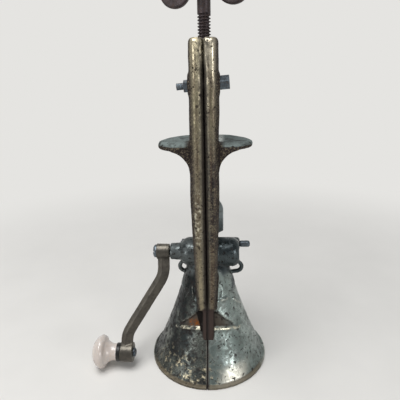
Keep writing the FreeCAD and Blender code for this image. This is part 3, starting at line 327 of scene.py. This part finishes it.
def tinned_iron(name, tones, bare_share, seam_half, fleck_reach):
    """Sand-cast iron, hot tinned and worn.

    A clouded silver skin, brown-black iron where it is rubbed through, pits, bright flecks low on the
    hopper, a dark drum, tan beads on the leg with painted shade on their sides and in the groove between
    them and a painted highlight on the end of the leg, painted shade in hollows, in the recess under the
    leg and in the gap beside the tab, rust in the recess, a painted highlight on the ledge below it, on
    sharp edges over rubbed tin and low on the right of the hopper, and painted shade with a blue reflection
    on the left shoulder. The half's own tones, its share of bare iron, the width of the dark band along the
    parting and the reach of the flecks from it set the halves apart."""
    fleck_fade, seam_core, cloud_dullness = 8, 0.3, 0.12
    drawn_out = (1, 1, 0.07)
    material, tree, place = fresh(name)
    x = add(tree, "SeparateXYZ", {"Vector": place})
    y = x.node.outputs["Y"]
    z = x.node.outputs["Z"]
    off_seam = add(tree, "Math", {0: x}, operation="ABSOLUTE")
    half_leg = add(tree, "MapRange", {
        "Value": z, "From Min": ROOT_HEIGHT * MM, "From Max": FULL_HEIGHT * MM,
        "To Min": ROOT_HALF * MM, "To Max": FULL_HALF * MM})
    square = add(tree, "Math", {0: x, 1: x}, operation="MULTIPLY")
    measure = {
        "x": x, "y": y, "z": z, "off_seam": off_seam, "place": place,
        "across": add(tree, "Math", {0: off_seam, 1: half_leg}, operation="DIVIDE"),
        "arch": add(tree, "Math", {0: off_seam, 1: ARCH_FALL, 2: z}, operation="MULTIPLY_ADD"),
        "sill": add(tree, "Math", {0: square, 1: 1 / (SILL_SPREAD * MM), 2: z}, operation="MULTIPLY_ADD"),
        "slant": add(tree, "Math", {0: x, 1: GAP_LEAN, 2: z}, operation="MULTIPLY_ADD"),
        "relief": add(tree, "NewGeometry").node.outputs["Pointiness"],
        "drawn": add(tree, "Mapping", {"Vector": place, "Scale": drawn_out}),
    }

    mask = {}
    own_places = (("fleck_side", "off_seam", fleck_reach, fleck_reach - fleck_fade, 1),
                  ("seam_side", "off_seam", seam_half, seam_core, 1))
    for part, source, start, end, share in PLACE_MASKS + own_places:
        mask[part] = add(tree, "MapRange", {
            "Value": measure[source], "From Min": start * MM, "From Max": end * MM, "To Max": share,
        }, interpolation_type="SMOOTHSTEP")
    for part, source, start, end, share in FORM_MASKS:
        mask[part] = add(tree, "MapRange", {
            "Value": measure[source], "From Min": start, "From Max": end, "To Max": share,
        }, interpolation_type="SMOOTHSTEP")
    own_noise = (("mottle", "place", 4.0, 0.47, 0.58, 6, bare_share),)
    for part, source, size, start, end, detail, share in NOISE_MASKS + own_noise:
        noise = add(tree, "TexNoise", {
            "Vector": measure[source], "Scale": 1 / (size * MM), "Detail": detail, "Roughness": 0.6})
        mask[part] = add(tree, "MapRange", {
            "Value": noise, "From Min": start, "From Max": end, "To Max": share})
    for part, operation, *sources in JOINED_MASKS:
        total = mask[sources[0]]
        for source in sources[1:]:
            total = add(tree, "Math", {0: total, 1: mask[source]}, operation=operation)
        mask[part] = total

    leg = tones["leg_root"]
    for part, colour in LEG_LAYERS:
        leg = add(tree, "Mix", {"Factor": mask[part], "A": leg, "B": tones.get(colour, colour)},
                  data_type="RGBA")
    tones = dict(tones, leg=leg)
    skin = tones["tin"]
    for part, colour in SKIN_LAYERS:
        skin = add(tree, "Mix", {"Factor": mask[part], "A": skin, "B": tones.get(colour, colour)},
                   data_type="RGBA")
    worn = mask["mottle"]
    for part in DULL_MASKS:
        worn = add(tree, "Math", {0: worn, 1: mask[part]}, operation="MAXIMUM")
    rough = add(tree, "MapRange", {"Value": worn, "To Min": 0.20, "To Max": 0.66})
    rough = add(tree, "Math", {0: mask["clouds"], 1: cloud_dullness, 2: rough}, operation="MULTIPLY_ADD")
    metal = add(tree, "MapRange", {"Value": worn, "To Min": 0.9, "To Max": 0.2})
    sheen = add(tree, "MapRange", {"Value": worn, "To Min": 0.5, "To Max": 0.12})
    grit = add(tree, "Math", {0: mask["mottle"], 1: mask["pits"]}, operation="SUBTRACT")
    normal = add(tree, "Bump", {"Height": grit, "Strength": 0.35, "Distance": 0.25 * MM})
    shader = add(tree, "BsdfPrincipled", {
        "Base Color": skin, "Roughness": rough, "Metallic": metal, "Specular IOR Level": sheen,
        "Normal": normal})
    add(tree, "OutputMaterial", {"Surface": shader})
    return material


def aged_metal(name, clean, dull, dark, spot, gloss, metal, relief, share, front=0):
    """Plain old metal or fibre: two tones clouded into each other, dark and duller in spots, slightly rough.

    spot and relief are in millimetres and share is the strength of the dark spots. A share for the front
    gives the faces turned to the front a painted shade, darker than the edges."""
    cloud = spot * 4
    spot_dullness, dullest = 0.25, 0.9
    material, tree, place = fresh(name)
    wide = add(tree, "TexNoise", {"Vector": place, "Scale": 1 / (cloud * MM), "Detail": 3.0})
    fine = add(tree, "TexNoise", {
        "Vector": place, "Scale": 1 / (spot * MM), "Detail": 5.0, "Roughness": 0.6})
    clouds = add(tree, "MapRange", {"Value": wide, "From Min": 0.38, "From Max": 0.64})
    spots = add(tree, "MapRange", {"Value": fine, "From Min": 0.48, "From Max": 0.68, "To Max": share})
    tone = add(tree, "Mix", {"Factor": clouds, "A": clean, "B": dull}, data_type="RGBA")
    skin = add(tree, "Mix", {"Factor": spots, "A": tone, "B": dark}, data_type="RGBA")
    # painted shade on the faces turned to the front
    if front:
        facing = add(tree, "SeparateXYZ", {"Vector": place.node.outputs["Normal"]}).node.outputs["Y"]
        front_shade = add(tree, "MapRange", {
            "Value": facing, "From Min": -0.5, "From Max": -0.9, "To Max": front})
        skin = add(tree, "Mix", {"Factor": front_shade, "A": skin, "B": dark}, data_type="RGBA")
    rough = add(tree, "MapRange", {
        "Value": spots, "To Min": gloss, "To Max": min(gloss + spot_dullness, dullest)})
    normal = add(tree, "Bump", {"Height": fine, "Strength": 0.3, "Distance": relief * MM})
    shader = add(tree, "BsdfPrincipled", {
        "Base Color": skin, "Roughness": rough, "Metallic": metal, "Normal": normal})
    add(tree, "OutputMaterial", {"Surface": shader})
    return material


def glazed_porcelain():
    """Glazed white porcelain: milky, with faint warm clouding under a clear glossy glaze."""
    cloud = 9
    material, tree, place = fresh("porcelain_glazed")
    wide = add(tree, "TexNoise", {"Vector": place, "Scale": 1 / (cloud * MM), "Detail": 4.0})
    clouds = add(tree, "MapRange", {"Value": wide, "From Min": 0.35, "From Max": 0.70})
    skin = add(tree, "Mix", {"Factor": clouds, "A": "#C6BDB6", "B": "#B5A9A1"}, data_type="RGBA")
    shader = add(tree, "BsdfPrincipled", {
        "Base Color": skin, "Roughness": 0.22, "Coat Weight": 0.5, "Coat Roughness": 0.06,
        "Subsurface Weight": 0.1, "Subsurface Radius": (0.004, 0.003, 0.002),
    })
    add(tree, "OutputMaterial", {"Surface": shader})
    return material


# the left half: tin worn thin, dark and mottled, with cream flecks along the rim and painted shade with a
# blue reflection on its shoulder
LEFT_TIN = tinned_iron("tinned_cast_iron_worn", {
    # the near-black blue-grey shoulder tone is painted shade with a blue reflection
    "tin": "#6C706A", "tarnish": "#303535", "bare": "#242120", "shoulder": "#181E20", "drum": "#525757",
    # the cream tone for the end of the leg is a painted highlight
    "leg_root": "#8B826C", "leg_middle": "#6B6353", "leg_high": "#878069", "leg_top_highlight": "#CFC4A6",
}, bare_share=0.8, seam_half=1.2, fleck_reach=60)

# the right half: most of its tin is left, pale grey-green with a painted highlight low on the hopper, dark
# on the middle of the leg
RIGHT_TIN = tinned_iron("tinned_cast_iron_pale", {
    "tin": "#9FAAA6", "tarnish": "#77827E", "bare": "#4A4742", "shoulder": "#87928E", "drum": "#434A4C",
    # the cream tone for the end of the leg is a painted highlight
    "leg_root": "#544A3E", "leg_middle": "#2C292A", "leg_high": "#7C7562", "leg_top_highlight": "#CFC6B0",
}, bare_share=0.4, seam_half=3.0, fleck_reach=14)

# the crank: warm grey iron, with painted shade on the faces turned to the front, so that its edges show
# paler
CRANK_IRON = aged_metal(
    "cast_iron_front_shaded", clean="#6C675D", dull="#5A564E", dark="#37332E",
    spot=3.0, gloss=0.38, metal=0.6, relief=0.15, share=0.6, front=0.6)

# the clamp screw, its wing and foot: dark brown rust with a dull shine
SCREW_STEEL = aged_metal(
    "steel_rusted_brown", clean="#463D3F", dull="#2D2728", dark="#4C3B33",
    spot=1.5, gloss=0.46, metal=0.5, relief=0.15, share=0.7)

# bolts, nuts and pins: blue-black steel with brown spots
BOLT_STEEL = aged_metal(
    "steel_blackened", clean="#626C73", dull="#474F56", dark="#4A3F39",
    spot=1.4, gloss=0.34, metal=0.7, relief=0.1, share=0.7)

# the tongue: pale, faintly stained sheet
TONGUE_STEEL = aged_metal(
    "steel_sheet_rolled", clean="#8F9899", dull="#7A8384", dark="#66655F",
    spot=3.0, gloss=0.34, metal=0.7, relief=0.08, share=0.5)

# knife and plate: bright ground steel
CUT_STEEL = aged_metal(
    "steel_ground", clean="#A4A5A4", dull="#85857F", dark="#55504A",
    spot=2.0, gloss=0.28, metal=0.95, relief=0.06, share=0.6)

# the feed screw: tin kept clean by use
INNER_TIN = aged_metal(
    "tinned_cast_iron_inside", clean="#9C9C94", dull="#77756B", dark="#4A443C",
    spot=2.5, gloss=0.34, metal=0.9, relief=0.2, share=0.8)

# the ferrule: black varnish, rubbed brown in spots
FERRULE_IRON = aged_metal(
    "iron_japanned_black", clean="#1C1B1A", dull="#121212", dark="#2E2A26",
    spot=1.2, gloss=0.35, metal=0.2, relief=0.08, share=0.8)

# the thrust washer: matt red-brown fibre
FIBRE = aged_metal(
    "vulcanised_fibre", clean="#5A3B2B", dull="#47301F", dark="#33231A",
    spot=1.0, gloss=0.75, metal=0.0, relief=0.1, share=0.8)

# the knob
PORCELAIN = glazed_porcelain()


# cast and forged pieces

def from_seam(x):
    """Share that rises from the flat face along the parting."""
    return (abs(x) - SEAM_FLAT) / SEAM_FADE


def on_skin(x, y, z):
    """Skin away from the parting, without the thin scroll ears."""
    margin = 2
    on_ear = abs(x) > EAR_START + margin and EAR_LOW < z < EAR_HIGH + margin
    return 0 if on_ear else from_seam(x)


def on_beads(x, y, z):
    """Front of the leg above its root."""
    rise, depth = 8, 2
    return min(from_seam(x), (z - BEAD_START) / rise, (BEAD_BACK - y) / depth)


def on_swell(x, y, z):
    """The beads, full on the left half and at the upper end of the right half."""
    thin_share, thin_end, run = 0.2, 195, 25
    full = 1 if x < 0 else min(max((z - thin_end) / run, thin_share), 1)
    return min(on_beads(x, y, z), 1) * full


def on_ends(x, y, z):
    """Upper end of the leg, and the drum."""
    inset, side_run, end_run = 2, 2, 6
    drum = min(z - DRUM_LOW, DRUM_HIGH - z, y - DRUM_FRONT)
    return min((abs(x) - inset) / side_run, max((z - LEG_END) / end_run, drum))


def on_ears(x, y, z):
    """Scroll ears."""
    run = 3
    return min(abs(x) - EAR_START, z - EAR_LOW, EAR_HIGH - z) / run


def casting(name, node, tin, marks):
    """One half of the body: a thick sand casting with soft edges, round beads on the leg and a wavy,
    pitted skin.

    The faces along the parting stay flat, so the halves still meet."""
    piece = merged_copy(name, node, voxel=0.8)
    skin = weigh(piece, "off_seam", on_skin)
    beads = weigh(piece, "beads", on_beads)
    swell = weigh(piece, "swell", on_swell)
    ends = weigh(piece, "ends", on_ends)
    ears = weigh(piece, "ears", on_ears)
    soften(piece, rounds=4, group=skin)
    thicken(piece, amount=0.35, group=ears)
    soften(piece, rounds=12, group=beads)
    thicken(piece, amount=1.2, group=swell)
    soften(piece, rounds=12, group=ends)
    crown(piece)
    roughen(piece, size=11, depth=0.35, group=skin)
    roughen(piece, size=2.4, depth=0.14, group=skin)
    for mark in marks:
        press(piece, **mark)
    finish_piece(piece, "body", tin, node)


def castings():
    """Both halves, with the ledge under the recess, two folds in the right skin and a blow hole in the
    left bead."""
    ledge_radius, ledge_height = 33, 45.4
    ledge_right = [(x, -math.sqrt(ledge_radius ** 2 - x * x), ledge_height - x * x / SILL_SPREAD)
                   for x in (6, 11, 16, 21, 26)]
    ledge_left = [(-x, y, z) for x, y, z in ledge_right]
    shoulder = [(12, -21.7, 66.7), (16, -19, 66.5)]
    fold = [(22, -13.6, 63), (24, -11.5, 59), (28, -5, 53)]
    blow_hole = [(-7.4, -31, 251.4)]
    casting("left_casting", "left_half", LEFT_TIN, [
        dict(path=ledge_left, width=2.2, lift=0.7),
        dict(path=blow_hole, width=1.6, lift=-1.6),
    ])
    casting("right_casting", "right_half", RIGHT_TIN, [
        dict(path=ledge_right, width=2.2, lift=0.7),
        dict(path=shoulder, width=2.6, lift=1.2),
        dict(path=fold, width=2.0, lift=1.0),
    ])


def crank():
    """Cast crank arm with worn edges, and the feed screw it drives."""
    arm = merged_copy("crank_casting", "crank_arm", voxel=0.5)
    soften(arm, rounds=4)
    roughen(arm, size=8, depth=0.3)
    finish_piece(arm, "rotor", CRANK_IRON, "crank_arm")
    auger = merged_copy("auger_casting", "feed_screw", voxel=0.45)
    soften(auger, rounds=2)
    finish_piece(auger, "rotor", INNER_TIN, "feed_screw")


def clamp():
    """Cast wing head with rounded ears."""
    wing = merged_copy("wing_casting", "clamp_wing", voxel=0.45)
    soften(wing, rounds=8)
    roughen(wing, size=5, depth=0.3)
    finish_piece(wing, "screw", SCREW_STEEL, "clamp_wing")


def forged(name, node, material, voxel=0.3, rounds=3):
    """Small forged or cut piece with its corners knocked off."""
    piece = merged_copy(name, node, voxel)
    soften(piece, rounds)
    finish_piece(piece, "body", material, node)


castings()
crank()
clamp()
forged("leg_bolt_forging", "leg_bolt", BOLT_STEEL, voxel=0.22, rounds=2)
forged("leg_nut_forging", "leg_nut", BOLT_STEEL)
forged("tie_bolt_forging", "tie_bolt", BOLT_STEEL)
forged("tie_nut_forging", "tie_nut", BOLT_STEEL)
forged("tongue_sheet", "drip_tongue", TONGUE_STEEL, voxel=0.4, rounds=4)

# the solids that are shown as they are
for node, material in (
    ("locating_pins", BOLT_STEEL), ("wing_pin", BOLT_STEEL), ("crank_screw", BOLT_STEEL),
    ("knob_spindle", BOLT_STEEL), ("thrust_washer", FIBRE), ("cutter_plate", CUT_STEEL),
    ("cutter_knife", CUT_STEEL), ("knob", PORCELAIN), ("knob_ferrule", FERRULE_IRON),
    ("clamp_foot", SCREW_STEEL), ("clamp_screw", SCREW_STEEL),
):
    nodes[node].data.materials.clear()
    nodes[node].data.materials.append(material)


# camera, floor and light

def camera():
    """Camera at the photograph's standpoint."""
    azimuth, pitch, roll = math.radians(3.5), math.radians(18.8), math.radians(-1.2)
    standpoint = Vector((-5.7, -312, 254)) * MM
    data = bpy.data.cameras.new("camera")
    data.sensor_width = 36
    data.lens = 36
    data.clip_start = 0.01
    item = bpy.data.objects.new("camera", data)
    scene.collection.objects.link(item)
    around = Matrix.Rotation(azimuth, 4, "Z")
    tilt = Matrix.Rotation(math.pi / 2 - pitch, 4, "X") @ Matrix.Rotation(roll, 4, "Z")
    item.matrix_world = around @ Matrix.Translation(standpoint) @ tilt
    scene.camera = item


def paper():
    """Matt paper, faintly clouded, that runs out to plain white away from the object."""
    cloud, plain_start, plain_full = 60, 200, 600
    material, tree, place = fresh("paper_sweep")
    wide = add(tree, "TexNoise", {"Vector": place, "Scale": 1 / (cloud * MM), "Detail": 4.0})
    skin = add(tree, "Mix", {"Factor": wide, "A": "#DCDAD6", "B": "#D2D0CC"}, data_type="RGBA")
    shader = add(tree, "BsdfPrincipled", {"Base Color": skin, "Roughness": 0.8})
    glow = add(tree, "Emission", {"Color": "#E5E4E1", "Strength": 1.0})
    away = add(tree, "VectorMath", {0: place}, operation="LENGTH")
    far = add(tree, "MapRange", {
        "Value": away, "From Min": plain_start * MM, "From Max": plain_full * MM,
    }, interpolation_type="SMOOTHSTEP")
    ray = add(tree, "LightPath").node.outputs
    seen = add(tree, "Math", {0: ray["Is Camera Ray"], 1: ray["Is Glossy Ray"]}, operation="MAXIMUM")
    seen = add(tree, "Math", {0: seen, 1: ray["Is Transmission Ray"]}, operation="MAXIMUM")
    share = add(tree, "Math", {0: far, 1: seen}, operation="MULTIPLY")
    add(tree, "OutputMaterial", {"Surface": add(tree, "MixShader", {0: share, 1: shader, 2: glow})})
    return material


def sweep():
    """Wide pale floor that bends up into a wall behind; all in metres."""
    depth, width, front_shift = 16, 64, -4
    wall_height, bend = 4, 1.2
    bpy.ops.object.select_all(action="DESELECT")
    bpy.ops.mesh.primitive_plane_add(size=depth, location=(0, front_shift, 0))
    floor = bpy.context.object
    floor.name = "floor"
    floor.scale.x = width / depth
    bpy.ops.object.transform_apply(location=True, scale=True)
    bpy.ops.object.mode_set(mode="EDIT")
    bpy.ops.mesh.select_all(action="DESELECT")
    bpy.ops.object.mode_set(mode="OBJECT")
    for edge in floor.data.edges:
        edge.select = all(floor.data.vertices[index].co.y > 0 for index in edge.vertices)
    bpy.ops.object.mode_set(mode="EDIT")
    bpy.ops.mesh.select_mode(type="EDGE")
    bpy.ops.mesh.extrude_region_move(TRANSFORM_OT_translate={"value": (0, 0, wall_height)})
    bpy.ops.object.mode_set(mode="OBJECT")
    modify(floor, "BEVEL", width=bend, segments=12, limit_method="ANGLE")
    bpy.ops.object.shade_smooth()
    floor.data.materials.append(paper())


def light():
    """Large soft light overhead, a weaker one at each side and a dim even sky; metres and watts."""
    aim = Vector((0, 0, 0.12))
    for name, spot, size, power in (
        ("overhead_light", (-0.25, -0.3, 1.3), 0.9, 17),
        ("left_light", (-0.85, -0.8, 0.28), 0.4, 3.0),
        ("right_light", (0.85, -0.8, 0.28), 0.4, 3.0),
    ):
        lamp = bpy.data.lights.new(name, "AREA")
        lamp.size = size
        lamp.energy = power
        item = bpy.data.objects.new(name, lamp)
        scene.collection.objects.link(item)
        turn = (aim - Vector(spot)).to_track_quat("-Z", "Y").to_matrix().to_4x4()
        item.matrix_world = Matrix.Translation(spot) @ turn
    scene.world = scene.world or bpy.data.worlds.new("studio")
    scene.world.use_nodes = True
    sky = scene.world.node_tree.nodes["Background"]
    sky.inputs["Color"].default_value = linear("#E4E8EC")
    sky.inputs["Strength"].default_value = 0.32


sweep()
light()
camera()
scene.view_settings.view_transform = "Standard"
